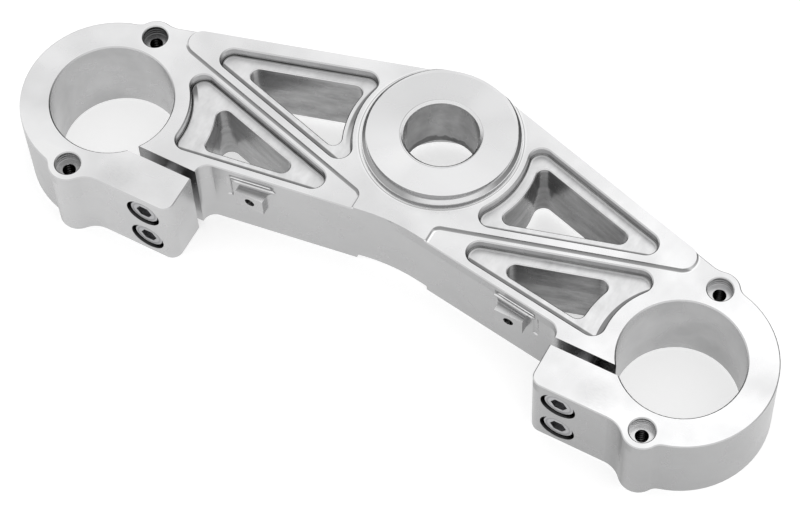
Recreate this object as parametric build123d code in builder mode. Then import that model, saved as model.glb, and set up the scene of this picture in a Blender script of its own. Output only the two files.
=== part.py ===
import os
from math import asin, atan2, cos, hypot, radians, sin, sqrt, tan

from build123d import *

# Driving dimensions in millimetres and degrees.
# Z is 0 on the top faces of the fork clamps, X runs along the forks, and -Y is the front.
fork_spacing = 248.0
fork_offset = 43.0
rake_angle = 4.0
clamp_height = 38.0

# Fork clamps and the small lobes round their screw holes
fork_bore = 49.0
ring_wall = 12.0
lobe_radius = 7.8
lobe_rise = 2.06
lobe_fillet = 10.0
lobe_fillet_outer = 5.0
screw_wall = 3.7
screw_hole = 5.3
screw_counterbore = 10.0
screw_counterbore_depth = 5.0
screw_chamfer = 0.4
bore_chamfer = 0.5
edge_chamfer = 0.4

# Pinch slot and the ears in front of it
slot_front = 17.3
slot_width = 3.6
ear_front = 34.6
ear_end = 77.9
ear_corner = 4.5
notch_radius = 5.0

# Pinch bolts, M8 socket head cap screws
bolt_across = 90.2
bolt_pitch = 18.0
bolt_diameter = 8.0
bolt_length = 25.0
bolt_head = 13.0
bolt_head_height = 8.0
bolt_hex = 6.0
bolt_hex_depth = 4.0
bolt_head_clearance = 0.75
bolt_hole_clearance = 0.25
bolt_thread_clearance = 0.05
bolt_recess = 0.9
bolt_head_chamfer = 0.6
bolt_end_chamfer = 0.8
bolt_run_out = 4.0

# Web outline
rear_radius = 30.5
front_angle = 8.2
front_at_step = 43.1
front_blend = 80.0

# Raised platform round the stem
platform_rise = 1.2
platform_tip = 125.0
platform_tip_radius = 5.4
platform_half_front = 15.7
platform_front_corner = 4.0
platform_foot = 1.5
underside_rise = 3.0

# Stem boss and bores, square to the raked stem axis
boss_diameter = 58.8
boss_top = 4.8
boss_shoulder = 3.8
boss_cone = 1.3
boss_land = 0.3
stem_bore = 30.0
stem_chamfer = 1.1
seat_bore = 46.0
seat_depth = 17.0

# Lightening pockets, their floors and the windows through the floors
pocket_depth = 4.7
pocket_foot = 1.0
pocket_corner = 5.0
rim_chamfer = 0.5
inner_rear_wall = 5.7
inner_boss_radius = 35.0
rib_above = 3.3
rib_below = 2.8
outer_front_wall = 3.4
outer_fork_radius = 31.2
window_depth = 13.0
ledge_rear = 4.5
ledge_front = 5.1
ledge_boss = 4.2
fork_ledge = 10.1
window_corner = 3.3
window_chamfer = 0.4
under_margin = 1.0
under_corner = 4.2

# Small pads with a threaded hole on the front of the web
pad_across = 56.7
pad_width = 12.0
pad_height = 9.0
pad_front = 53.1
pad_root = 2.0
pad_drop = 12.4
pad_flank = 2.5
track_radius = 1.9
track_depth = 0.5
track_sink = 0.03
track_pitch = 2.0
track_past_inner = 2.0
track_past_outer = 4.2
track_step = 1.6
pad_hole = 4.2
pad_hole_depth = 8.0

# How far cutters run past a face, how close an edge has to lie to be picked, and a reach past the outline
overcut = 1.0
tolerance = 0.01
beyond = 60.0

half_spacing = fork_spacing / 2
bore_radius = fork_bore / 2
ring_radius = bore_radius + ring_wall
ring_y = -fork_offset
lobe_reach = bore_radius + screw_wall + screw_counterbore / 2
ear_front_y = ring_y - ear_front
slot_front_y = ring_y - slot_front
slot_rear_y = slot_front_y + slot_width
rear_lobe_y = ring_y + lobe_reach
rear_lobe_away = rear_radius - lobe_radius + lobe_rise
web_turn = asin(rear_lobe_away / hypot(half_spacing, rear_lobe_y)) - atan2(rear_lobe_y, half_spacing)
web_slope = tan(web_turn)
front_slope = tan(radians(front_angle))
fork_centres = [(half_spacing, ring_y), (-half_spacing, ring_y)]
lobe_places = [
    (side * half_spacing, ring_y + reach) for side in (1, -1) for reach in (lobe_reach, -lobe_reach)
]
upper_bolt = -clamp_height / 2 + bolt_pitch / 2
lower_bolt = upper_bolt - bolt_pitch
bolt_places = {
    "pinch_bolt_left_upper": (-bolt_across, upper_bolt),
    "pinch_bolt_left_lower": (-bolt_across, lower_bolt),
    "pinch_bolt_right_upper": (bolt_across, upper_bolt),
    "pinch_bolt_right_lower": (bolt_across, lower_bolt),
}
clearance_radius = bolt_diameter / 2 + bolt_hole_clearance
thread_radius = bolt_diameter / 2 + bolt_thread_clearance
pad_top = pad_height / 2 - pad_drop
pad_foot = pad_top - pad_height
pad_inner = pad_across - pad_width / 2
pad_outer = pad_across + pad_width / 2
strip_inner = pad_inner - 2 * pad_flank
strip_outer = pad_outer + 2 * pad_flank
track_low = pad_top + track_radius - track_sink
track_high = track_low + track_pitch
track_inner = pad_inner - track_past_inner
track_outer = pad_outer + track_past_outer
high_inner = track_inner + track_step
high_outer = track_outer - track_step
counterbore_radius = screw_counterbore / 2
recess_radius = bolt_head / 2 + bolt_head_clearance
recess_depth = bolt_head_height + bolt_recess
thread_depth = bolt_length + recess_depth - (slot_rear_y - ear_front_y) + bolt_run_out
stem_axis = (0, sin(radians(rake_angle)), cos(radians(rake_angle)))


def rear_line(x, inset=0.0):
    """Y of a line parallel to the rear edge of the web, moved in from it by inset."""
    return (rear_radius - inset) / cos(web_turn) - web_slope * x


def front_line(x, inset=0.0):
    """Y of a line parallel to the front face of the web, moved in from it by inset."""
    return -front_at_step - front_slope * (x - platform_half_front) + inset / cos(radians(front_angle))


def step_line(x, inset=0.0):
    """Y of a line parallel to the edge of the raised platform, moved to the rear by inset."""
    tip_y = rear_line(platform_tip)
    return tip_y - web_slope * (platform_tip - x) + inset / cos(web_turn)


def crossing(first, second):
    """Point where two straight lines, given as functions of x, cross."""
    x = (second(0) - first(0)) / (first(1) - first(0) - second(1) + second(0))
    return (x, first(x))


def nearest(sketch, x, y):
    return sketch.vertices().sort_by_distance((x, y, 0))[0]


# Plan outline of the billet
tangent = (rear_radius * sin(web_turn), rear_radius * cos(web_turn))
front_lobe = (half_spacing, ring_y - lobe_reach)
lobe_inner = half_spacing - lobe_radius
blend_y = ear_front_y - lobe_fillet
blend_x = half_spacing - sqrt((lobe_radius + lobe_fillet) ** 2 - (front_lobe[1] - blend_y) ** 2)
with BuildSketch() as outline:
    with BuildLine():
        Polyline(
            (0, 0),
            (0, front_line(0)),
            (ear_end, front_line(ear_end)),
            (ear_end, ear_front_y),
            (half_spacing, ear_front_y),
            (half_spacing, rear_line(half_spacing)),
            tangent,
            close=True,
        )
    make_face()
    with Locations((half_spacing, ring_y)):
        Circle(ring_radius)
    with Locations(lobe_places[0], lobe_places[1]):
        Circle(lobe_radius)
    with BuildLine():
        Polyline((blend_x, ear_front_y), (blend_x, blend_y), front_lobe, close=True)
    make_face()
    with Locations((blend_x, blend_y)):
        Circle(lobe_fillet, mode=Mode.SUBTRACT)
    mirror(about=Plane.YZ)
    Circle(rear_radius)
    for side in (1, -1):
        fillet(nearest(outline, side * ear_end, front_line(ear_end)), notch_radius)
        fillet(nearest(outline, side * ear_end, ear_front_y), ear_corner)
        fillet(nearest(outline, side * lobe_inner, rear_line(lobe_inner)), lobe_fillet)
        for reach in (lobe_reach, -lobe_reach):
            fillet(nearest(outline, side * (half_spacing + lobe_radius), ring_y + reach), lobe_fillet_outer)
    fillet(nearest(outline, 0, front_line(0)), front_blend)

# Raised region round the stem, which both the platform and the hollow underside follow
tip = (platform_tip, rear_line(platform_tip))
front_corner = (platform_half_front, step_line(platform_half_front))
keep_x = platform_tip - cos(web_turn) * (platform_tip_radius / web_slope + overcut)
with BuildSketch() as raised_region:
    with BuildLine():
        Polyline(
            (0, -2 * beyond),
            (platform_half_front, -2 * beyond),
            front_corner,
            tip,
            (keep_x, rear_line(keep_x)),
            (keep_x, 2 * beyond),
            (0, 2 * beyond),
            close=True,
        )
    make_face()
    mirror(about=Plane.YZ)
    for side in (1, -1):
        fillet(nearest(raised_region, side * tip[0], tip[1]), platform_tip_radius)
        fillet(nearest(raised_region, side * front_corner[0], front_corner[1]), platform_front_corner)


def inner_outline(rear_inset, front_inset, boss_inset, corner):
    """Inner pocket between rear wall, rib and boss, each side moved in, with milled corners."""

    def rear(x):
        return rear_line(x, inner_rear_wall + rear_inset + corner)

    def front(x):
        return step_line(x, rib_above + front_inset + corner)

    with BuildSketch() as pocket:
        with BuildLine():
            Polyline((0, rear(0)), crossing(rear, front), (0, front(0)), close=True)
        make_face()
        Circle(inner_boss_radius + boss_inset + corner, mode=Mode.SUBTRACT)
        offset(amount=corner)
    return pocket.sketch


def outer_outline(rear_inset, front_inset, fork_inset, corner):
    """Outer pocket between rib, front wall and fork clamp, each side moved in, with milled corners."""

    def rear(x):
        return step_line(x, -rib_below - rear_inset - corner)

    def front(x):
        return front_line(x, outer_front_wall + front_inset + corner)

    with BuildSketch() as pocket:
        with BuildLine():
            Polyline(
                crossing(rear, front),
                (half_spacing, rear(half_spacing)),
                (half_spacing, front(half_spacing)),
                close=True,
            )
        make_face()
        with Locations((half_spacing, ring_y)):
            Circle(outer_fork_radius + fork_inset + corner, mode=Mode.SUBTRACT)
        offset(amount=corner)
    return pocket.sketch


def pocket_cutter(outline_sketch, mouth, floor, foot, rim):
    """Cutter from its mouth down to its floor, with a rounded foot and a chamfered rim."""
    with BuildPart() as cutter:
        with BuildSketch(Plane.XY.offset(floor)):
            add(outline_sketch)
        extrude(amount=mouth - floor + overcut)
        if foot:
            fillet(cutter.edges().group_by(Axis.Z)[0], foot)
        with BuildSketch(Plane.XY.offset(mouth - rim)):
            add(outline_sketch)
        extrude(amount=1.5 * rim, taper=-45)
    return cutter.part


inner_floor = platform_rise - pocket_depth
outer_floor = -pocket_depth
inner_rim = inner_outline(0, 0, 0, pocket_corner)
outer_rim = outer_outline(0, 0, 0, pocket_corner)
inner_window = inner_outline(ledge_rear, ledge_front, ledge_boss, window_corner)
outer_window = outer_outline(ledge_rear, ledge_front, fork_ledge, window_corner)
top_cutters = [
    pocket_cutter(inner_rim, platform_rise, inner_floor, pocket_foot, rim_chamfer),
    pocket_cutter(outer_rim, 0, outer_floor, pocket_foot, rim_chamfer),
    pocket_cutter(inner_window, inner_floor, -2 * clamp_height, 0, window_chamfer),
    pocket_cutter(outer_window, outer_floor, -2 * clamp_height, 0, window_chamfer),
]
under_rear = ledge_rear - under_margin
under_front = ledge_front - under_margin
hollows = [
    (
        inner_outline(under_rear, under_front, ledge_boss - under_margin, under_corner),
        inner_floor - window_depth,
    ),
    (
        outer_outline(under_rear, under_front, fork_ledge - under_margin, under_corner),
        outer_floor - window_depth,
    ),
]


def platform_edge(edge):
    """True for the edges along the foot of the platform, not for the outer sides of the cutter."""
    middle = edge @ 0.5
    if abs(abs(middle.X) - keep_x) < tolerance and middle.Y > 0:
        return False
    return abs(middle.X) < half_spacing and abs(middle.Y) < step_half - overcut


# Cutter that lowers the fork clamps and the frames of the outer pockets below the platform
step_half = 1.5 * beyond
stock_top = 3 * boss_top
with BuildPart() as step_cutter:
    with BuildSketch():
        Rectangle(2 * (half_spacing + beyond), 2 * step_half)
        add(raised_region.sketch, mode=Mode.SUBTRACT)
    extrude(amount=stock_top)
    fillet(step_cutter.edges().group_by(Axis.Z)[0].filter_by(platform_edge), platform_foot)


def on_outline(edge):
    """True for the edges of the plan outline on the top faces of the clamps and on the underside."""
    middle = edge @ 0.5
    if abs(middle.Z) > tolerance and abs(middle.Z + clamp_height) > tolerance:
        return False
    if abs((edge @ 0).Z - (edge @ 1).Z) > tolerance:
        return False
    return outline_wire.distance_to(Vector(middle.X, middle.Y, 0)) < tolerance


def ball_track(side, first, last):
    """Groove of a ball cutter that runs over the front of the web between two points (x, z)."""
    stand = track_radius - track_depth
    ends = [Vector(side * x, front_line(x) - stand, z) for x, z in (first, last)]
    run = ends[1] - ends[0]
    with BuildPart() as track:
        with Locations(Plane(origin=ends[0], z_dir=run)):
            Cylinder(track_radius, run.length, align=(Align.CENTER, Align.CENTER, Align.MIN))
        with Locations(*ends):
            Sphere(track_radius)
    return track.part


outline_wire = outline.sketch.faces()[0].outer_wire()

# Plane square to the stem at the top of the boss
boss_y = boss_top * stem_axis[1]
boss_plane = Plane(origin=(0, boss_y, boss_top * stem_axis[2]), x_dir=(1, 0, 0), z_dir=stem_axis)
boss_radius = boss_diameter / 2
cone_top = boss_radius + boss_land
cone_foot = cone_top + boss_cone
shelf = boss_shoulder - boss_cone
boss_stock = stock_top + overcut
far = half_spacing + beyond

with BuildPart() as clamp_body:
    with BuildSketch(Plane.XY.offset(-clamp_height)):
        add(outline.sketch)
    extrude(amount=clamp_height + stock_top)
    add(step_cutter.part, mode=Mode.SUBTRACT)
    with BuildSketch(Plane.XZ.offset(-boss_y)):
        with BuildLine():
            Polyline(
                (boss_radius, boss_stock),
                (boss_radius, boss_shoulder),
                (cone_top, boss_shoulder),
                (cone_foot, shelf),
                (cone_foot + boss_land, shelf),
                (cone_foot + boss_land, platform_rise),
                (far, platform_rise),
                (far, boss_stock),
                close=True,
            )
        make_face()
    revolve(axis=Axis((0, boss_y, 0), (0, 0, 1)), mode=Mode.SUBTRACT)
    with Locations(boss_plane):
        Box(2 * far, 2 * far, far, align=(Align.CENTER, Align.CENTER, Align.MIN), mode=Mode.SUBTRACT)
    with BuildSketch(Plane.XY.offset(-clamp_height)):
        add(raised_region.sketch)
    extrude(amount=underside_rise, mode=Mode.SUBTRACT)

    # Fork bores and the slot that lets each clamp close
    with Locations(*fork_centres):
        Hole(bore_radius)
    for side in (1, -1):
        with Locations((side * (half_spacing + ear_end) / 2, (slot_front_y + slot_rear_y) / 2, 0)):
            Box(half_spacing - ear_end + 2 * overcut, slot_width, 3 * clamp_height, mode=Mode.SUBTRACT)

    # Pockets from above with windows through their floors, and wider hollows from below
    for cutter in top_cutters:
        add(cutter, mode=Mode.SUBTRACT)
        add(cutter.mirror(Plane.YZ), mode=Mode.SUBTRACT)
    for hollow, roof in hollows:
        with BuildSketch(Plane.XY.offset(-clamp_height)):
            add(hollow)
            mirror(about=Plane.YZ)
        extrude(amount=clamp_height + roof, mode=Mode.SUBTRACT)

    # Screw holes in the lobes
    with Locations(*lobe_places):
        CounterBoreHole(screw_hole / 2, counterbore_radius, screw_counterbore_depth)

    # Stem bore and the wider seat under it
    with Locations(boss_plane):
        Hole(stem_bore / 2)
        with Locations((0, 0, -boss_top - clamp_height + seat_depth)):
            down = (Align.CENTER, Align.CENTER, Align.MAX)
            Cylinder(seat_bore / 2, clamp_height, align=down, mode=Mode.SUBTRACT)

    # Pads with a threaded hole on the front of the web, hollow flanks, and the grooves cut round them
    with BuildSketch(Plane.XY.offset(pad_foot)):
        with BuildLine():
            Polyline(
                (pad_inner, -pad_front),
                (pad_inner, front_line(pad_inner)),
                (strip_inner, front_line(strip_inner)),
                (strip_inner, front_line(strip_inner, pad_root)),
                (strip_outer, front_line(strip_outer, pad_root)),
                (strip_outer, front_line(strip_outer)),
                (pad_outer, front_line(pad_outer)),
                (pad_outer, -pad_front),
                close=True,
            )
        pad_face = make_face()
        fillet(nearest(pad_face, pad_inner, front_line(pad_inner)), pad_flank)
        fillet(nearest(pad_face, pad_outer, front_line(pad_outer)), pad_flank)
        mirror(about=Plane.YZ)
    extrude(amount=pad_height)
    for side in (1, -1):
        add(ball_track(side, (track_inner, track_low), (track_outer, track_low)), mode=Mode.SUBTRACT)
        add(ball_track(side, (high_inner, track_high), (high_outer, track_high)), mode=Mode.SUBTRACT)
        add(ball_track(side, (track_outer, track_low), (track_outer, pad_foot)), mode=Mode.SUBTRACT)
    with Locations(*[Location((side * pad_across, -pad_front, -pad_drop), (90, 0, 0)) for side in (1, -1)]):
        Hole(pad_hole / 2, pad_hole_depth)

    # Pinch bolt holes: head recess and clearance in the ear, thread behind the slot
    with Locations(*[Location((x, ear_front_y, z), (90, 0, 0)) for x, z in bolt_places.values()]):
        CounterBoreHole(clearance_radius, recess_radius, recess_depth, slot_rear_y - ear_front_y)
    with Locations(*[Location((x, slot_rear_y, z), (90, 0, 0)) for x, z in bolt_places.values()]):
        Hole(thread_radius, thread_depth)

    # Chamfered mouth of the stem bore and broken edges of the fork bores and the outline
    stem_mouth = clamp_body.edges().filter_by(GeomType.CIRCLE).filter_by(
        lambda e: abs(e.radius - stem_bore / 2) < tolerance and e.center().Z > 0
    )
    chamfer(stem_mouth, stem_chamfer)
    screw_mouths = clamp_body.edges().filter_by(GeomType.CIRCLE).filter_by(
        lambda e: e.is_closed and abs(e.radius - counterbore_radius) < tolerance and e.center().Z > -tolerance
    )
    chamfer(screw_mouths, screw_chamfer)
    bore_rims = clamp_body.edges().filter_by(GeomType.CIRCLE).filter_by(
        lambda e: abs(e.radius - bore_radius) < tolerance and abs(e.tangent_at(0.5).Z) < tolerance
    )
    chamfer(bore_rims, bore_chamfer)
    outline_edges = clamp_body.edges().filter_by(on_outline)
    chamfer(outline_edges, edge_chamfer)


def pinch_bolt(x, z):
    """Socket head cap screw lying along Y with its head to the front."""
    seat_y = ear_front_y + recess_depth
    head_face = Plane(origin=(x, seat_y - bolt_head_height, z), x_dir=(1, 0, 0), z_dir=(0, -1, 0))
    with BuildPart() as bolt:
        with Locations(Location((x, seat_y, z), (90, 0, 0))):
            Cylinder(bolt_head / 2, bolt_head_height, align=(Align.CENTER, Align.CENTER, Align.MIN))
            chamfer(bolt.edges().sort_by(Axis.Y)[0], bolt_head_chamfer)
            Cylinder(bolt_diameter / 2, bolt_length, align=(Align.CENTER, Align.CENTER, Align.MAX))
            chamfer(bolt.edges().sort_by(Axis.Y)[-1], bolt_end_chamfer)
        with BuildSketch(head_face):
            RegularPolygon(bolt_hex / 2, 6, major_radius=False)
        extrude(amount=-bolt_hex_depth, mode=Mode.SUBTRACT)
    return bolt.part


os.makedirs("parts", exist_ok=True)
clamp_body.part.label = "clamp_body"
export_step(clamp_body.part, "parts/clamp_body.step")
for name, (x, z) in bolt_places.items():
    bolt_part = pinch_bolt(x, z)
    bolt_part.label = name
    export_step(bolt_part, f"parts/{name}.step")
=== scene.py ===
import math
from types import SimpleNamespace

import bpy
from mathutils import Matrix, Vector


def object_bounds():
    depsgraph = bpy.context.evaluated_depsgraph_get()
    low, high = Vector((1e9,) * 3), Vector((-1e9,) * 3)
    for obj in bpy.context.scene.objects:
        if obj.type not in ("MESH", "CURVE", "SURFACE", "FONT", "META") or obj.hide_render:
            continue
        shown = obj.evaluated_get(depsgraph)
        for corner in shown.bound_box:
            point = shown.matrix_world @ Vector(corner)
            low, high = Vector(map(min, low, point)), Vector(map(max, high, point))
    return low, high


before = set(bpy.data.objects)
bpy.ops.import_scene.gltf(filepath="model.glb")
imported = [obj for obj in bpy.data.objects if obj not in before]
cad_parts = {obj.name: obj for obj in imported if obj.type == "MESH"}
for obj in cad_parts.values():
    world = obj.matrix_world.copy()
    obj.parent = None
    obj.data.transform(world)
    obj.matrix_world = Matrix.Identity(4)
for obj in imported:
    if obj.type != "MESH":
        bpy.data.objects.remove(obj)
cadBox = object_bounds()
print("frame loaded")

mm = 0.001
fullTurn = 2 * math.pi
noiseMiddle = 0.5


class Signal:
    # wraps a socket: ordinary maths on it adds Math nodes, and node() adds any other kind
    def __init__(self, tree, socket=None):
        self.tree = tree
        self.socket = socket

    def node(self, kind, settings, values, output=0):
        made = self.tree.nodes.new(kind)
        for name, value in settings.items():
            setattr(made, name, value)
        for name, value in values.items():
            if isinstance(value, Signal):
                self.tree.links.new(value.socket, made.inputs[name])
            else:
                made.inputs[name].default_value = value
        return Signal(self.tree, made.outputs[output])

    def maths(self, operation, *terms):
        return self.node("ShaderNodeMath", {"operation": operation}, dict(enumerate(terms)))

    def __add__(self, other):
        return self.maths("ADD", self, other)

    __radd__ = __add__

    def __sub__(self, other):
        return self.maths("SUBTRACT", self, other)

    def __rsub__(self, other):
        return self.maths("SUBTRACT", other, self)

    def __mul__(self, other):
        return self.maths("MULTIPLY", self, other)

    __rmul__ = __mul__

    def __truediv__(self, other):
        return self.maths("DIVIDE", self, other)

    def clamped(self):
        return self.maths("MINIMUM", self.maths("MAXIMUM", self, 0.0), 1.0)


def absolute(value):
    return value.maths("ABSOLUTE", value)


def sine(angle):
    return angle.maths("SINE", angle)


def cosine(angle):
    return angle.maths("COSINE", angle)


def distance(across, along):
    # square root of the two squares' sum
    return across.maths("SQRT", across * across + along * along)


def near(value, level, reach):
    # 1 where value is within reach of level, fading to 0 over as much again
    return (2 - absolute(value - level) / reach).clamped()


def above(value, limit, fade=1.0):
    # 0 up to the limit, and from there up to 1 over the length of the fade
    return ((value - limit) / fade).clamped()


def below(value, limit, fade=1.0):
    # 0 down to the limit, and from there up to 1 over the length of the fade
    return ((limit - value) / fade).clamped()


def mixed(first, second, share):
    return first + share * (second - first)


def dimmed(tone, mask, loss):
    # the tone less a share of itself where the mask holds
    return tone * (1 - mask * loss)


def newMaterial(name):
    # an empty material, its Principled shader, and a Signal to start from
    material = bpy.data.materials.new(name)
    material.use_nodes = True
    tree = material.node_tree
    return material, tree.nodes["Principled BSDF"], Signal(tree)


def partsOf(start, vector):
    return [start.node("ShaderNodeSeparateXYZ", {}, {0: vector}, axis) for axis in "XYZ"]


def placeIn(start):
    # the point being shaded, in millimetres of the part's frame: vector, x, y and z
    metres = start.node("ShaderNodeTexCoord", {}, {}, "Object")
    values = {0: metres, "Scale": 1 / mm}
    point = start.node("ShaderNodeVectorMath", {"operation": "SCALE"}, values)
    return point, *partsOf(start, point)


def stretchedNoise(start, point, stretch, scale, detail, roughness):
    # noise from about -0.5 to 0.5, each coordinate multiplied by its stretch first
    values = {0: point, 1: stretch}
    moved = start.node("ShaderNodeVectorMath", {"operation": "MULTIPLY"}, values)
    values = {"Vector": moved, "Scale": scale, "Detail": detail, "Roughness": roughness}
    return start.node("ShaderNodeTexNoise", {}, values, "Fac") - noiseMiddle


def grooves(start, along, pitch, depth):
    # slope of fine tool marks that follow one another along a coordinate, from -depth to depth
    line = start.node("ShaderNodeCombineXYZ", {}, {0: along / pitch, 1: 0.0, 2: 0.0})
    values = {"Vector": line, "Scale": 1.0, "Detail": 1.0}
    marks = start.node("ShaderNodeTexNoise", {}, values, "Fac")
    return (marks - noiseMiddle) * (2 * depth)


def leaned(start, normal, *leans):
    # the normal after each slope has leaned it along its own direction
    total = normal
    for slope, direction in leans:
        values = {0: direction, "Scale": slope}
        step = start.node("ShaderNodeVectorMath", {"operation": "SCALE"}, values)
        total = start.node("ShaderNodeVectorMath", {"operation": "ADD"}, {0: total, 1: step})
    return start.node("ShaderNodeVectorMath", {"operation": "NORMALIZE"}, {0: total})


def greyed(start, colour, tone):
    # a colour times a grey tone
    grey = start.node("ShaderNodeCombineColor", {}, {0: tone, 1: tone, 2: tone})
    settings = {"data_type": "RGBA", "blend_type": "MULTIPLY"}
    return start.node("ShaderNodeMix", settings, {0: 1.0, 6: (*colour, 1), 7: grey}, 2)


def finishMaterial(material, shader, colour, roughness, normal):
    links = material.node_tree.links
    shader.inputs["Metallic"].default_value = 1.0
    links.new(colour.socket, shader.inputs["Base Color"])
    links.new(roughness.socket, shader.inputs["Roughness"])
    links.new(normal.socket, shader.inputs["Normal"])
    return material


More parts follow.
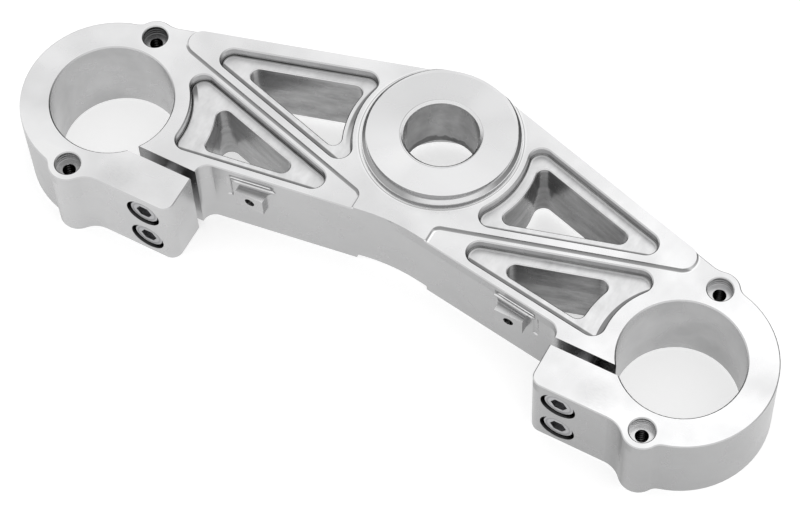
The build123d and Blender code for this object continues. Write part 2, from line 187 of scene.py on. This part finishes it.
# lengths are in millimetres and turns in radians; in a pair of numbers, the first is where a mask
# begins or has its middle, and the second the length over which it fades
billetLook = {
    "metal": (0.90, 0.90, 0.905),
    "roughness": 0.27,
    "roughnessCloud": 0.15,
    "roughnessFloor": 0.06,

    # the noises: stretch, scale, detail and roughness
    "noises": {
        "cloud": ((1, 1, 1), 0.045, 3, 0.55),
        "patch": ((1, 1, 1), 0.16, 2, 0.55),
        "swirl": ((0.35, 0.12, 1), 1.0, 3, 0.6),
        "streak": ((0.06, 0.06, 0.16), 1.0, 4, 0.65),
        "broad": ((1, 1.6, 1), 0.02, 2, 0.4),
        "scratch": ((0.5, 2.4, 1), 0.9, 3, 0.55),
    },

    # which way a surface faces, by the upward or the backward part of its normal
    "uprightTilt": (0.35, 0.125),
    "slantedTilt": (0.62, 0.15),
    "backward": (-0.4167, 0.8333),
    "middleFade": 20.0,  # the right side's mask is full this far from the middle

    # stem, boss and collar
    "rake": 4.0,  # degrees
    "bossTop": 4.8,
    "faceReach": 0.04,
    "bossEdge": (29.4, 0.25),
    "stemBore": (17.0, 0.25),  # with its chamfer
    "collar": (30.4, 1.2),
    "collarBase": -0.2,

    # fork clamps and their screw holes
    "forkSpacing": 248.0,
    "forkOffset": 43.0,
    "forkBore": (24.8, 0.125),
    "lobeReach": 33.2,
    "screwHole": (5.3, 0.125),

    # pinch bolts and their recesses
    "boltAcross": 90.2,
    "boltHalfPitch": 9.0,
    "boltMiddle": -19.0,
    "recess": (7.4, 0.125),
    "recessMouth": (-77.55, 0.125),
    "recessFloor": -68.6,

    # web, platform and pockets
    "innerFloor": -3.5,
    "outerFloor": -4.7,
    "stepStart": -39.95,  # y of the platform's edge in the middle, and its rise per millimetre
    "stepSlope": 0.28675,
    "frontStart": -40.84,  # y of the web's front face in the middle, if its slope ran on
    "frontSlope": 0.1441,
    "rearStart": 31.73,  # y of the web's rear edge in the middle, if its slope ran on
    "rearSlope": 0.2871,
    "webFork": 40.0,  # the window walls are outside these two radii and below this top
    "webStem": 34.0,
    "webTop": -4.9,
    "webMargin": 1.0,
    "pocketFork": 30.0,  # the pockets' walls: outside these radii, and within the web by this much
    "pocketStem": 33.0,
    "pocketFront": 2.0,
    "pocketRear": 3.0,
    "pocketEnd": 102.0,

    # tones of the walls: painted shade makes them darker than the level faces, and darker still by
    # side and place; streaks and clouds add grain
    "wallTone": 0.53,
    "windowTone": 0.40,
    "boreTone": 0.56,
    "wallFade": (1.10, 0.30, 90.0),  # painted shade: walls grow darker to the right: start, loss, half the way
    "boreSpared": 0.6,  # share of that fade which the fork bores are spared
    "leftLoss": 0.75,
    "collarFoot": 2.5,
    "collarFootLoss": 0.45,
    "wallStreak": 0.04,
    "windowStreak": 0.55,
    "boreCloud": 0.45,
    "boreLeftLoss": 0.3,
    "innerRightLoss": 0.35,

    # tones of the stem bore: painted shade, with two painted bright sides
    "stemTone": 0.37,
    "stemPatch": 0.3,
    "stemFoot": -17.5,
    "stemFootPatch": 9.0,
    "stemFootLoss": 0.22,
    "stemBright": 2.1,
    "stemSides": (0.8, 0.25),  # middle and swing

    # tones of the screw holes: painted light and shade
    "screwTone": 0.14,
    "screwPitch": 1.3,
    "screwRings": 0.25,
    "screwRight": 0.65,
    "screwLeftFront": 0.55,
    "screwDepth": -5.1,
    "screwLeast": 0.05,
    "screwFloor": -1.0,
    "screwFloorLoss": 0.6,
    "screwFloorRight": 0.5,

    # tones of the chamfers: painted highlights and painted shade
    "brightEdge": 0.80,
    "darkEdge": 0.10,
    "edgeFoot": (0.6, 0.35),  # rounded foot of the pocket walls, above their floor
    "edgeFootLoss": 0.75,
    "edgeFootRight": 0.35,
    "edgeCollarLoss": 0.4,
    "collarBright": -0.95,
    "collarFan": (0.8, 0.1667),
    "rim": (-0.2, 0.1),  # chamfered rim of the windows, below the floor

    # the boss's painted sheen: waves have a depth, a count in a turn and a shift,
    # and painted bright beams a gain, a shift, a limit and a fade
    "bossGain": 0.04,
    "bossWaves": ((0.06, 1, -0.35), (0.02, 3, -1.0)),
    "bossBeams": ((0.08, -0.66, 0.75, 0.25), (0.05, 0.87, 0.5, 0.5)),

    # tones of the level faces: painted sheen, floor patches and swirls, and painted dark lines and
    # glow
    "cloudDepth": 0.06,
    "flatCloud": 0.24,
    "broadDepth": 0.55,
    "broadBoss": 0.6,
    "floorTone": 0.95,
    "floorPatch": 0.3,
    "floorSwirl": 0.35,
    "bossChamfer": (16.2, 0.1),
    "bossChamferLoss": 0.3,
    "platformTop": (1.1, 0.05),
    "collarLine": (32.3, 0.1),
    "collarLineLoss": 0.5,
    "collarGlow": (32.3, 0.5),
    "collarGlowGain": 0.1,
    # painted shade in the bolts' recesses
    "recessTone": 0.10,

    # painted reflection: the milled foot of the pocket walls mirrors the dark wall above it, so it
    # is painted darker
    "footStart": (0.005, 0.02),
    "footHeight": (0.95, 0.2),
    "footTone": 0.36,
    "footPatch": 0.4,
    "footRight": 0.22,

    # painted shade: dark bands on the pocket floors, along the walls that face away from bandWay,
    # and on the platform's step
    "bandWay": (0.495, -0.869),
    "bandTurn": 12.5,
    "bandRib": (6.7, 0.5),
    "bandBoss": (37.7, 0.5),
    "bandFront": (6.8, 0.5),
    "bandFork": (33.9, 0.5),
    "bandForkGain": 3.0,
    "bandLoss": 0.70,
    "stepBand": (-0.6, 0.8),
    "stepFoot": (0.03, 0.05),
    "stepLoss": 0.55,

    # painted shade on the down-facing cutter tracks round the pads, and on the posts beside them
    "padAcross": 56.7,
    "webFront": 1.5,  # how far behind the web's front face the tracks still show
    "trackShift": 0.8,
    "trackWidth": (9.4, 0.5),
    "trackMiddle": -5.0,
    "trackHeight": (2.6, 0.5),
    "trackFacing": (0.4333, 0.6667),
    "trackTilt": (0.9, 0.1),
    "trackLoss": 0.75,
    "postAcross": (10.2, 1.2),
    "postHeight": (-11.5, 3.5),
    "postFacing": (0.0, 0.3333),
    "postTilt": (0.97, 0.1),
    "postLoss": 0.6,

    # rub marks on the ears
    "scuffPlace": (103.0, -72.0),
    "scuffReach": (9.6, 6.0),
    "scuffLoss": 0.12,
    "scuffScratch": 0.16,

    # tool marks: pitch and slope of rings on the boss, arcs on the faces and lines on the walls
    "ringMarks": (1.4, 0.03),
    "sweepMarks": (5.0, 0.02),
    "sweepCentre": (-420.0, 160.0),
    "wallMarks": (2.5, 0.01),
    "threadPitch": 1.6,
    "threadSlope": 0.35,
}
billet = SimpleNamespace(**billetLook)


def boltDistance(x, z):
    # distance from the nearest of the four bolt axes, by folding the part about its middle twice
    sideways = absolute(x) - billet.boltAcross
    upwards = absolute(z - billet.boltMiddle) - billet.boltHalfPitch
    return distance(sideways, upwards)


def locate(start):
    # where the shaded point is on the billet, and which way its surface faces
    at = SimpleNamespace(start=start)
    at.point, at.x, at.y, at.z = placeIn(start)
    at.normal = start.node("ShaderNodeTexCoord", {}, {}, "Normal")
    facingRight, at.facingBack, at.facingUp = partsOf(start, at.normal)
    at.facingLeft = facingRight * -1
    at.outwards = absolute(at.x)
    at.rightSide = above(at.x, 0, billet.middleFade)

    rake = math.radians(billet.rake)
    at.stemHeight = at.y * math.sin(rake) + at.z * math.cos(rake)
    at.stemRadius = distance(at.x, at.y)
    at.turn = at.y.maths("ARCTAN2", at.y, at.x)
    at.forkX = at.outwards - billet.forkSpacing / 2
    at.forkY = at.y + billet.forkOffset
    at.forkRadius = distance(at.forkX, at.forkY)
    at.lobeRadius = distance(at.forkX, absolute(at.forkY) - billet.lobeReach)

    at.stepGap = at.y - billet.stepStart - at.outwards * billet.stepSlope
    at.frontGap = at.y - billet.frontStart + at.outwards * billet.frontSlope
    at.rearGap = billet.rearStart - at.outwards * billet.rearSlope - at.y
    for name, settings in billet.noises.items():
        setattr(at, name, stretchedNoise(start, at.point, *settings))
    return at


def findFaces(at):
    # masks from 0 to 1 for the billet's own surfaces
    at.tilt = absolute(at.facingUp)
    at.upright = below(at.tilt, *billet.uprightTilt)
    at.slanted = near(at.tilt, *billet.slantedTilt)
    at.level = (1 - at.upright) * (1 - at.slanted)

    onTop = near(at.stemHeight, billet.bossTop, billet.faceReach)
    at.onBoss = onTop * below(at.stemRadius, *billet.bossEdge)
    at.inStem = below(at.stemRadius, *billet.stemBore)
    at.atCollar = near(at.stemRadius, *billet.collar) * above(at.z, billet.collarBase)
    at.inFork = below(at.forkRadius, *billet.forkBore)
    at.inScrew = below(at.lobeRadius, *billet.screwHole)

    at.onInner = near(at.z, billet.innerFloor, billet.faceReach) * at.level
    at.onOuter = near(at.z, billet.outerFloor, billet.faceReach) * at.level
    at.onFloor = (at.onInner + at.onOuter).clamped()
    at.onFlat = at.level * (1 - at.onBoss) * (1 - at.onFloor)

    outside = above(at.forkRadius, billet.webFork) * above(at.stemRadius, billet.webStem)
    at.inWeb = outside * below(at.z, billet.webTop)
    inside = above(at.frontGap, billet.webMargin) * above(at.rearGap, billet.webMargin)
    at.inWindow = at.inWeb * inside * at.upright


def recessShadeMask(at):
    # painted shade in the bolts' recesses, between their mouth and their floor
    around = below(boltDistance(at.x, at.z), *billet.recess)
    return around * above(at.y, *billet.recessMouth) * below(at.y, billet.recessFloor)


def floorSum(at, place, reach):
    # sum of two masks, at the same height above the one and the other pocket floor
    inner = near(at.z, billet.innerFloor + place, reach)
    return inner + near(at.z, billet.outerFloor + place, reach)


def paintedFootMask(at):
    def foot(floor):
        lift = at.z - floor
        return above(lift, *billet.footStart) * below(lift, *billet.footHeight)

    inner = foot(billet.innerFloor) * at.stepGap.clamped()
    outer = foot(billet.outerFloor) * below(at.stepGap, 0)
    between = above(at.rearGap, billet.pocketRear) * above(at.frontGap, billet.pocketFront)
    around = above(at.stemRadius, billet.pocketStem) * above(at.forkRadius, billet.pocketFork)
    return (inner + outer) * between * around * below(at.outwards, billet.pocketEnd)


def turnedAway(across, along):
    # how far a wall whose outward direction is (across, along) faces away from bandWay
    wayAcross, wayAlong = billet.bandWay
    return below(along * wayAlong + across * wayAcross, 0, billet.bandTurn)


# painted shade: dark bands on the pocket floors beside the walls that face away from bandWay
def bandShadeMask(at):
    side = at.x.maths("SIGN", at.x)
    boss = below(at.stemRadius, *billet.bandBoss) * turnedAway(at.x, at.y)
    fork = below(at.forkRadius, *billet.bandFork) * turnedAway(at.forkX * side, at.forkY)
    inner = at.onInner * (below(at.stepGap, *billet.bandRib) + boss)
    front = below(at.frontGap, *billet.bandFront)
    return (inner + at.onOuter * (front + fork * billet.bandForkGain)).clamped()


def padShade(at, tone):
    # painted shade on the cutter tracks beside and above the pads, where they face down, and on the
    # posts next to them
    padX = at.outwards - billet.padAcross
    onFront = below(at.frontGap, billet.webFront)
    track = below(absolute(padX - billet.trackShift), *billet.trackWidth) * onFront
    track = track * below(absolute(at.z - billet.trackMiddle), *billet.trackHeight)
    track = track * below(at.facingUp, *billet.trackFacing) * below(at.tilt, *billet.trackTilt)
    post = near(padX, *billet.postAcross) * near(at.z, *billet.postHeight) * onFront
    post = post * above(at.facingUp, *billet.postFacing) * below(at.tilt, *billet.postTilt)
    return dimmed(dimmed(tone, track, billet.trackLoss), post, billet.postLoss)


def scuffLoss(at):
    # faint strokes on the level face of each ear
    placeX, placeY = billet.scuffPlace
    away = distance(at.outwards - placeX, at.y - placeY)
    return below(away, *billet.scuffReach) * at.onFlat * (
        billet.scuffLoss + at.scratch * billet.scuffScratch)


def stemBoreTone(at):
    # mottled, with painted shade below its foot line; twice the turn gives it two painted bright
    # sides
    tone = billet.stemTone + at.patch * billet.stemPatch
    footLine = billet.stemFoot + at.patch * billet.stemFootPatch
    tone = tone - below(at.stemHeight, footLine) * billet.stemFootLoss
    middle, swing = billet.stemSides
    return tone * (middle + swing * cosine((at.turn - billet.stemBright) * 2))


def screwHoleTone(at):
    # turned rings painted as light and dark bands, painted light to the right and in the left front
    # hole, and painted shade in the depth
    rings = sine(at.z * (fullTurn / billet.screwPitch)) * billet.screwRings
    leftFront = (1 - at.rightSide) * below(at.forkY, 0)
    tone = billet.screwTone + at.rightSide * billet.screwRight
    tone = tone + leftFront * billet.screwLeftFront + rings
    return tone * (1 - below(at.z, billet.screwDepth)) + billet.screwLeast


def wallTone(at):
    # the plain wall's tone, the other walls' where their masks hold, and what changes all of them;
    # the tones and losses are painted shade, the streaks and clouds grain
    others = (
        (at.inWindow, billet.windowTone),
        (at.inFork, billet.boreTone),
        (at.inStem, stemBoreTone(at)),
        (at.inScrew * (1 - at.inFork), screwHoleTone(at)),
    )
    tone = billet.wallTone
    for mask, other in others:
        tone = tone + mask * (other - billet.wallTone)
    begin, loss, half = billet.wallFade
    fade = begin - loss * above(at.x, -half, 2 * half)
    tone = tone * (1 + (fade - 1) * (1 - at.inStem) * (1 - at.inFork * billet.boreSpared))
    leftward = at.facingLeft * (1 - at.inFork) * (1 - at.inWeb) * (1 - at.inStem)
    tone = dimmed(tone, leftward.clamped(), billet.leftLoss)
    lowCollar = at.atCollar * below(at.stemHeight, billet.collarFoot)
    tone = dimmed(tone, lowCollar, billet.collarFootLoss)
    tone = tone + at.streak * (billet.wallStreak + at.inWindow * billet.windowStreak)
    tone = tone + at.inFork * at.cloud * billet.boreCloud
    tone = dimmed(tone, at.inFork * at.facingLeft.clamped(), billet.boreLeftLoss)
    innerRight = at.inWindow * at.stepGap.clamped() * at.rightSide
    return dimmed(tone, innerRight, billet.innerRightLoss)


def edgeLightTone(at):
    # painted highlights and shade: chamfers are bright in front and dark behind, and darker at the
    # pockets' foot and on the collar; rims, the stem bore and one side of the collar get a painted
    # shine
    tone = mixed(billet.brightEdge, billet.darkEdge, above(at.facingBack, *billet.backward))
    atFoot = floorSum(at, *billet.edgeFoot).clamped()
    tone = tone * (1 - (billet.edgeFootLoss - billet.edgeFootRight * at.rightSide) * atFoot)
    tone = dimmed(tone, at.atCollar, billet.edgeCollarLoss)
    fan = above(cosine(at.turn - billet.collarBright), *billet.collarFan)
    tone = mixed(tone, 1, at.atCollar * fan)
    return mixed(tone, 1, (floorSum(at, *billet.rim) + at.inStem).clamped())


def paintedBossSheen(at):
    # painted sheen: soft waves round the boss, then two painted bright beams, which twice the turn
    # takes right across it
    sheen = 1 + at.onBoss * billet.bossGain
    for depth, count, shift in billet.bossWaves:
        sheen = sheen - at.onBoss * (depth * (1 + sine(at.turn * count + shift)))
    beams = 0
    for gain, shift, limit, fade in billet.bossBeams:
        beams = beams + above(sine(at.turn * 2 + shift), limit, fade) * gain
    return sheen * (1 + at.onBoss * beams)


def levelTone(at, tone):
    # painted sheen as soft clouds on the level faces, patches and swirls on the floors, a painted
    # dark line round the bore, and a painted dark line and glow round the collar
    floorLoss = 1 - billet.floorTone + at.patch * billet.floorPatch
    tone = tone * paintedBossSheen(at) * (1 - at.onFloor * floorLoss)
    tone = dimmed(tone, at.cloud, billet.cloudDepth)
    tone = dimmed(tone, at.onFlat * at.cloud, billet.flatCloud)
    tone = dimmed(tone, at.onFloor * at.swirl, billet.floorSwirl)
    tops = at.onFlat + at.onBoss * billet.broadBoss
    tone = tone * (1 + tops * at.broad * billet.broadDepth)
    chamfer = near(at.stemRadius, *billet.bossChamfer) * at.onBoss
    tone = dimmed(tone, chamfer, billet.bossChamferLoss)
    platform = at.level * above(at.z, *billet.platformTop) * (1 - at.onBoss)
    line = near(at.stemRadius, *billet.collarLine) * platform * billet.collarLineLoss
    glow = near(at.stemRadius, *billet.collarGlow) * platform * billet.collarGlowGain
    return tone * (1 + glow - line)


def billetTone(at):
    tone = 1 - at.upright * (1 - wallTone(at)) - at.slanted * (1 - edgeLightTone(at))
    tone = levelTone(at, tone)
    # painted reflection of the dark wall at the pockets' foot, weaker on the right
    footTone = billet.footTone + at.patch * billet.footPatch + billet.footRight * at.rightSide
    tone = tone * (1 - paintedFootMask(at) * (1 - footTone))
    tone = padShade(at, tone)
    # painted shade on the platform's step, below its top
    step = near(at.stepGap, *billet.stepBand) * above(at.z, *billet.stepFoot)
    tone = dimmed(tone, step * below(at.z, *billet.platformTop), billet.stepLoss)
    tone = dimmed(tone, bandShadeMask(at), billet.bandLoss)
    # painted shade on the screw holes' floors, less of it on the right
    screwFloor = at.inScrew * at.level * (1 - at.inFork) * below(at.z, billet.screwFloor)
    screwLoss = billet.screwFloorLoss - billet.screwFloorRight * at.rightSide
    tone = tone * (1 - screwFloor * screwLoss) * (1 - scuffLoss(at))
    return mixed(tone, billet.recessTone, recessShadeMask(at))


def toolMarks(at):
    # turned rings on the boss, wide arcs on the faces, level lines on walls, threads in the holes
    def outFrom(across, along, length):
        parts = {0: across / length, 1: along / length, 2: 0.0}
        return at.start.node("ShaderNodeCombineXYZ", {}, parts)

    centreX, centreY = billet.sweepCentre
    sweepX, sweepY = at.x - centreX, at.y - centreY
    sweepRadius = distance(sweepX, sweepY)
    rings = grooves(at.start, at.stemRadius, *billet.ringMarks) * at.onBoss
    sweeps = grooves(at.start, sweepRadius, *billet.sweepMarks) * at.level * (1 - at.onBoss)
    lines = grooves(at.start, at.z, *billet.wallMarks) * at.upright
    threads = sine(at.z * (fullTurn / billet.threadPitch)) * at.inScrew * at.upright
    return leaned(
        at.start,
        at.normal,
        (rings, outFrom(at.x, at.y, at.stemRadius)),
        (sweeps, outFrom(sweepX, sweepY, sweepRadius)),
        (lines + threads * billet.threadSlope, (0.0, 0.0, 1.0)),
    )


def billetMaterial():
    material, shader, start = newMaterial("machinedBillet")
    at = locate(start)
    findFaces(at)
    roughness = billet.roughness + at.cloud * billet.roughnessCloud
    roughness = roughness + at.onFloor * billet.roughnessFloor
    colour = greyed(start, billet.metal, billetTone(at))
    return finishMaterial(material, shader, colour, roughness, toolMarks(at))


boltLook = {
    "metal": (0.42, 0.42, 0.43),
    "roughness": 0.32,
    "grain": ((1, 1, 1), 1.5, 3, 0.55),  # stretch, scale, detail and roughness
    "grainTone": 0.2,
    "grainRoughness": 0.2,
    "bumpStrength": 0.2,
    "bumpHeight": 0.05,
    "hex": (3.55, 0.1667),
    "hexTone": 0.95,
    "side": (6.4, 0.1),
    "sideTone": 0.25,
    "ring": (4.9, 0.25),
    "ringTone": 0.72,
}


def boltMaterial():
    # fine grain, with painted shade: a little in the hexagon, a darker ring round it, and a dark
    # side
    look = SimpleNamespace(**boltLook)
    material, shader, start = newMaterial("boltSteel")
    point, x, y, z = placeIn(start)
    away = boltDistance(x, z)
    grain = stretchedNoise(start, point, *look.grain)
    values = {"Strength": look.bumpStrength, "Distance": look.bumpHeight * mm, "Height": grain}
    bump = start.node("ShaderNodeBump", {}, values)
    tone = 1 + grain * look.grainTone - below(away, *look.hex) * (1 - look.hexTone)
    tone = tone - above(away, *look.side) * (1 - look.sideTone)
    tone = tone - near(away, *look.ring) * (1 - look.ringTone)
    roughness = look.roughness + grain * look.grainRoughness
    colour = greyed(start, look.metal, tone)
    return finishMaterial(material, shader, colour, roughness, bump)


billetFinish = billetMaterial()
boltFinish = boltMaterial()
for name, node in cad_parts.items():
    node.data.materials.clear()
    node.data.materials.append(billetFinish if name == "clamp_body" else boltFinish)
print("materials made")

stageLook = {
    "floorTone": 0.62,
    "floorGlow": 0.63,
    "floorRoughness": 0.9,
    "floorGloss": 0.1,
    "floorSize": 4.0,  # metres
    "floorGap": 0.05,
    "worldTone": 0.84,
    "lamps": {
        # place and size in metres, and strength in watts; every lamp points at the part
        "overhead": ((0.42, 0.55, 1.1), 1.1, 1.3),
    },
}


def seenDirectly(start):
    # 1 for rays from the camera and for those off gloss or through glass
    kinds = ("Is Camera Ray", "Is Glossy Ray", "Is Transmission Ray")
    camera, gloss, glass = [start.node("ShaderNodeLightPath", {}, {}, kind) for kind in kinds]
    return (camera + gloss + glass).clamped()


def makeFloor(level):
    half = stageLook["floorSize"] / 2
    mesh = bpy.data.meshes.new("floor")
    spread = ((-half, -half), (half, -half), (half, half), (-half, half))
    mesh.from_pydata([(x, y, level) for x, y in spread], [], [(0, 1, 2, 3)])
    floor = bpy.data.objects.new("floor", mesh)
    bpy.context.scene.collection.objects.link(floor)
    material, shader, start = newMaterial("paleFloor")
    tone = stageLook["floorTone"]
    shader.inputs["Base Color"].default_value = (tone, tone, tone, 1)
    shader.inputs["Roughness"].default_value = stageLook["floorRoughness"]
    shader.inputs["Specular IOR Level"].default_value = stageLook["floorGloss"]
    shader.inputs["Emission Strength"].default_value = 1.0
    glow = greyed(start, (1, 1, 1), seenDirectly(start) * stageLook["floorGlow"])
    material.node_tree.links.new(glow.socket, shader.inputs["Emission Color"])
    mesh.materials.append(material)


def makeWorld():
    world = bpy.data.worlds.new("paleRoom")
    bpy.context.scene.world = world
    world.use_nodes = True
    backdrop = world.node_tree.nodes["Background"]
    backdrop.inputs["Color"].default_value = (1, 1, 1, 1)
    backdrop.inputs["Strength"].default_value = stageLook["worldTone"]


def makeLamps():
    for name, (place, size, power) in stageLook["lamps"].items():
        data = bpy.data.lights.new(name, "AREA")
        data.size = size
        data.energy = power
        lamp = bpy.data.objects.new(name, data)
        lamp.location = place
        lamp.rotation_euler = (-Vector(place)).to_track_quat("-Z", "Y").to_euler()
        bpy.context.scene.collection.objects.link(lamp)


cameraView = {
    "lens": 128.1,
    "place": (288.9, -507.1, 940.45),
    "turn": (2.56375253, 0.640500253, -0.209248943),
    "farthest": 20.0,  # metres
}


def makeCamera():
    # turn is a rotation vector that takes the part's axes to right, down and forward of the picture
    turn = Vector(cameraView["turn"])
    right, down, forward = Matrix.Rotation(turn.length, 3, turn.normalized())
    data = bpy.data.cameras.new("camera")
    data.lens = cameraView["lens"]
    data.clip_end = cameraView["farthest"]
    camera = bpy.data.objects.new("camera", data)
    axes = Matrix((right, -down, -forward)).transposed().to_4x4()
    camera.matrix_world = Matrix.Translation(Vector(cameraView["place"]) * mm) @ axes
    bpy.context.scene.collection.objects.link(camera)
    bpy.context.scene.camera = camera


makeFloor(cadBox[0].z - stageLook["floorGap"] * mm)
makeWorld()
makeLamps()
makeCamera()
bpy.context.scene.view_settings.view_transform = "Standard"
print("stage and camera ready")
